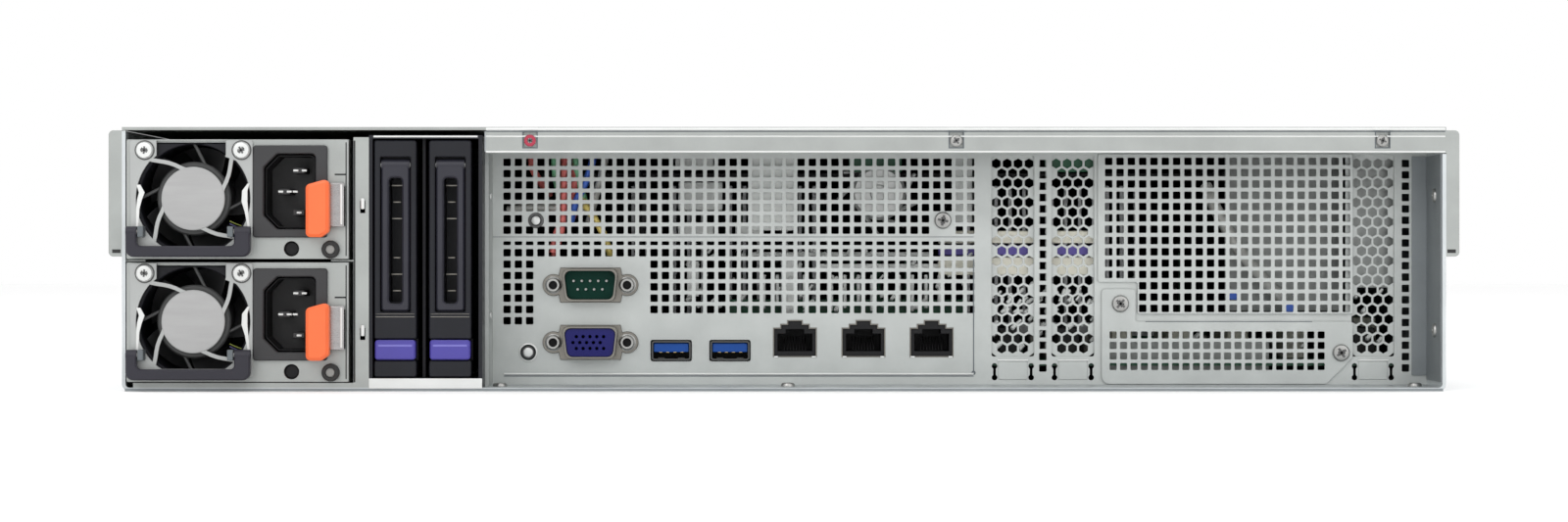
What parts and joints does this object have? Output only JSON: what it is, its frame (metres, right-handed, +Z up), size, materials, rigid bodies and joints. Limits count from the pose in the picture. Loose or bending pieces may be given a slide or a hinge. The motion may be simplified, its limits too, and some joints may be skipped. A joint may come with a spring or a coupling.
{
  "type": "2u rack server",
  "caption": "Two-unit rack server with hot-swap power supplies, rear drive trays, perforated rear panel with ports and expansion covers, system fans and front drive trays.",
  "frame": {"origin": "centre of the underside of the whole object's box", "axes": "+X right seen from the rear, +Y from the rear panel to the front drives, +Z up"},
  "size_m": [0.4826, 0.766, 0.0875],
  "materials": {
    "zinc_steel": "satin zinc-coated sheet",
    "board_green": "solder mask",
    "bright_shell": "nickel shell",
    "fin_aluminium": "plain",
    "black_plastic": "moulded",
    "slate_plastic": "moulded",
    "orange_plastic": "moulded",
    "violet_plastic": "moulded",
    "dark_carrier": "moulded",
    "screw_steel": "plated",
    "ear_paint": "satin black"
  },
  "bodies": {
    "chassis": {"chassis_pan": "zinc_steel", "slide_rails": "zinc_steel", "rear_panel": "zinc_steel", "slot_covers": "zinc_steel", "riser_blank": "zinc_steel", "mezz_cover": "zinc_steel", "dsub_ports": "bright_shell", "usb_ports": "bright_shell", "lan_jacks": "bright_shell", "motherboard": "board_green", "memory_modules": "board_green", "heatsinks": "fin_aluminium", "air_duct": "black_plastic", "fan_frames": "black_plastic", "fan_wall": "zinc_steel", "backplanes": "board_green", "psu_cage": "zinc_steel", "rear_drive_cage": "zinc_steel", "front_drive_cage": "zinc_steel", "rack_ears": "ear_paint", "screws": "screw_steel"},
    "cover": {"top_cover": "zinc_steel"},
    "id_key": {"id_button": "violet_plastic"},
    "power_key": {"power_button": "violet_plastic"},
    "fan_1": {"fan_rotor_1": "black_plastic"},
    "fan_2": {"fan_rotor_2": "black_plastic"},
    "fan_3": {"fan_rotor_3": "black_plastic"},
    "fan_4": {"fan_rotor_4": "black_plastic"},
    "psu_1": {"psu_1_case": "zinc_steel", "psu_1_fan": "black_plastic", "psu_1_guard": "zinc_steel", "psu_1_inlet": "black_plastic"},
    "psu_1_impeller": {"psu_1_rotor": "black_plastic"},
    "psu_1_bail": {"psu_1_handle": "slate_plastic"},
    "psu_1_release": {"psu_1_latch": "orange_plastic"},
    "psu_2": {"psu_2_case": "zinc_steel", "psu_2_fan": "black_plastic", "psu_2_guard": "zinc_steel", "psu_2_inlet": "black_plastic"},
    "psu_2_impeller": {"psu_2_rotor": "black_plastic"},
    "psu_2_bail": {"psu_2_handle": "slate_plastic"},
    "psu_2_release": {"psu_2_latch": "orange_plastic"},
    "rear_tray_1": {"rear_carrier_1": "dark_carrier"},
    "rear_tray_1_lever": {"rear_lever_1": "dark_carrier"},
    "rear_tray_1_button": {"rear_button_1": "violet_plastic"},
    "rear_tray_2": {"rear_carrier_2": "dark_carrier"},
    "rear_tray_2_lever": {"rear_lever_2": "dark_carrier"},
    "rear_tray_2_button": {"rear_button_2": "violet_plastic"},
    "front_tray_1_1": {"front_carrier_1_1": "dark_carrier"},
    "front_tray_1_2": {"front_carrier_1_2": "dark_carrier"},
    "front_tray_1_3": {"front_carrier_1_3": "dark_carrier"},
    "front_tray_2_1": {"front_carrier_2_1": "dark_carrier"},
    "front_tray_2_2": {"front_carrier_2_2": "dark_carrier"},
    "front_tray_2_3": {"front_carrier_2_3": "dark_carrier"},
    "front_tray_3_1": {"front_carrier_3_1": "dark_carrier"},
    "front_tray_3_2": {"front_carrier_3_2": "dark_carrier"},
    "front_tray_3_3": {"front_carrier_3_3": "dark_carrier"},
    "front_tray_4_1": {"front_carrier_4_1": "dark_carrier"},
    "front_tray_4_2": {"front_carrier_4_2": "dark_carrier"},
    "front_tray_4_3": {"front_carrier_4_3": "dark_carrier"}
  },
  "joints": [
    {"name": "cover_lift", "type": "slide", "parent": "chassis", "child": "cover", "axis": [0, 0, 1], "range_m": [0, 0.12]},
    {"name": "id_press", "type": "slide", "parent": "chassis", "child": "id_key", "axis": [0, 1, 0], "range_m": [0, 0.0012], "stiffness_N_per_m": 600},
    {"name": "power_press", "type": "slide", "parent": "chassis", "child": "power_key", "axis": [0, -1, 0], "range_m": [0, 0.0015], "stiffness_N_per_m": 600},
    {"name": "fan_1_spin", "type": "hinge", "parent": "chassis", "child": "fan_1", "pos_m": [-0.1305, 0.049, 0.0432], "axis": [0, 1, 0], "continuous": true},
    {"name": "fan_2_spin", "type": "hinge", "parent": "chassis", "child": "fan_2", "pos_m": [-0.0435, 0.049, 0.0432], "axis": [0, 1, 0], "continuous": true},
    {"name": "fan_3_spin", "type": "hinge", "parent": "chassis", "child": "fan_3", "pos_m": [0.0435, 0.049, 0.0432], "axis": [0, 1, 0], "continuous": true},
    {"name": "fan_4_spin", "type": "hinge", "parent": "chassis", "child": "fan_4", "pos_m": [0.1305, 0.049, 0.0432], "axis": [0, 1, 0], "continuous": true},
    {"name": "psu_1_withdraw", "type": "slide", "parent": "chassis", "child": "psu_1", "axis": [0, -1, 0], "range_m": [0, 0.19]},
    {"name": "psu_1_fan_spin", "type": "hinge", "parent": "psu_1", "child": "psu_1_impeller", "pos_m": [-0.1953, -0.363, 0.0231], "axis": [0, 1, 0], "continuous": true},
    {"name": "psu_1_bail_swing", "type": "hinge", "parent": "psu_1", "child": "psu_1_bail", "pos_m": [-0.1964, -0.3797, 0.0121], "axis": [-1, 0, 0], "range_deg": [0, 90]},
    {"name": "psu_1_latch_press", "type": "slide", "parent": "psu_1", "child": "psu_1_release", "axis": [-1, 0, 0], "range_m": [0, 0.0016], "stiffness_N_per_m": 1500},
    {"name": "psu_2_withdraw", "type": "slide", "parent": "chassis", "child": "psu_2", "axis": [0, -1, 0], "range_m": [0, 0.19]},
    {"name": "psu_2_fan_spin", "type": "hinge", "parent": "psu_2", "child": "psu_2_impeller", "pos_m": [-0.1953, -0.363, 0.0638], "axis": [0, 1, 0], "continuous": true},
    {"name": "psu_2_bail_swing", "type": "hinge", "parent": "psu_2", "child": "psu_2_bail", "pos_m": [-0.1964, -0.3797, 0.0528], "axis": [-1, 0, 0], "range_deg": [0, 90]},
    {"name": "psu_2_latch_press", "type": "slide", "parent": "psu_2", "child": "psu_2_release", "axis": [-1, 0, 0], "range_m": [0, 0.0016], "stiffness_N_per_m": 1500},
    {"name": "rear_tray_1_withdraw", "type": "slide", "parent": "chassis", "child": "rear_tray_1", "axis": [0, -1, 0], "range_m": [0, 0.12]},
    {"name": "rear_tray_1_lever_swing", "type": "hinge", "parent": "rear_tray_1", "child": "rear_tray_1_lever", "pos_m": [-0.1286, -0.3725, 0.075], "axis": [-1, 0, 0], "range_deg": [0, 55]},
    {"name": "rear_tray_1_button_press", "type": "slide", "parent": "rear_tray_1", "child": "rear_tray_1_button", "axis": [0, 1, 0], "range_m": [0, 0.0015], "stiffness_N_per_m": 800},
    {"name": "rear_tray_2_withdraw", "type": "slide", "parent": "chassis", "child": "rear_tray_2", "axis": [0, -1, 0], "range_m": [0, 0.12]},
    {"name": "rear_tray_2_lever_swing", "type": "hinge", "parent": "rear_tray_2", "child": "rear_tray_2_lever", "pos_m": [-0.11045, -0.3725, 0.075], "axis": [-1, 0, 0], "range_deg": [0, 55]},
    {"name": "rear_tray_2_button_press", "type": "slide", "parent": "rear_tray_2", "child": "rear_tray_2_button", "axis": [0, 1, 0], "range_m": [0, 0.0015], "stiffness_N_per_m": 800},
    {"name": "front_tray_1_1_withdraw", "type": "slide", "parent": "chassis", "child": "front_tray_1_1", "axis": [0, 1, 0], "range_m": [0, 0.17]},
    {"name": "front_tray_1_2_withdraw", "type": "slide", "parent": "chassis", "child": "front_tray_1_2", "axis": [0, 1, 0], "range_m": [0, 0.17]},
    {"name": "front_tray_1_3_withdraw", "type": "slide", "parent": "chassis", "child": "front_tray_1_3", "axis": [0, 1, 0], "range_m": [0, 0.17]},
    {"name": "front_tray_2_1_withdraw", "type": "slide", "parent": "chassis", "child": "front_tray_2_1", "axis": [0, 1, 0], "range_m": [0, 0.17]},
    {"name": "front_tray_2_2_withdraw", "type": "slide", "parent": "chassis", "child": "front_tray_2_2", "axis": [0, 1, 0], "range_m": [0, 0.17]},
    {"name": "front_tray_2_3_withdraw", "type": "slide", "parent": "chassis", "child": "front_tray_2_3", "axis": [0, 1, 0], "range_m": [0, 0.17]},
    {"name": "front_tray_3_1_withdraw", "type": "slide", "parent": "chassis", "child": "front_tray_3_1", "axis": [0, 1, 0], "range_m": [0, 0.17]},
    {"name": "front_tray_3_2_withdraw", "type": "slide", "parent": "chassis", "child": "front_tray_3_2", "axis": [0, 1, 0], "range_m": [0, 0.17]},
    {"name": "front_tray_3_3_withdraw", "type": "slide", "parent": "chassis", "child": "front_tray_3_3", "axis": [0, 1, 0], "range_m": [0, 0.17]},
    {"name": "front_tray_4_1_withdraw", "type": "slide", "parent": "chassis", "child": "front_tray_4_1", "axis": [0, 1, 0], "range_m": [0, 0.17]},
    {"name": "front_tray_4_2_withdraw", "type": "slide", "parent": "chassis", "child": "front_tray_4_2", "axis": [0, 1, 0], "range_m": [0, 0.17]},
    {"name": "front_tray_4_3_withdraw", "type": "slide", "parent": "chassis", "child": "front_tray_4_3", "axis": [0, 1, 0], "range_m": [0, 0.17]}
  ]
}
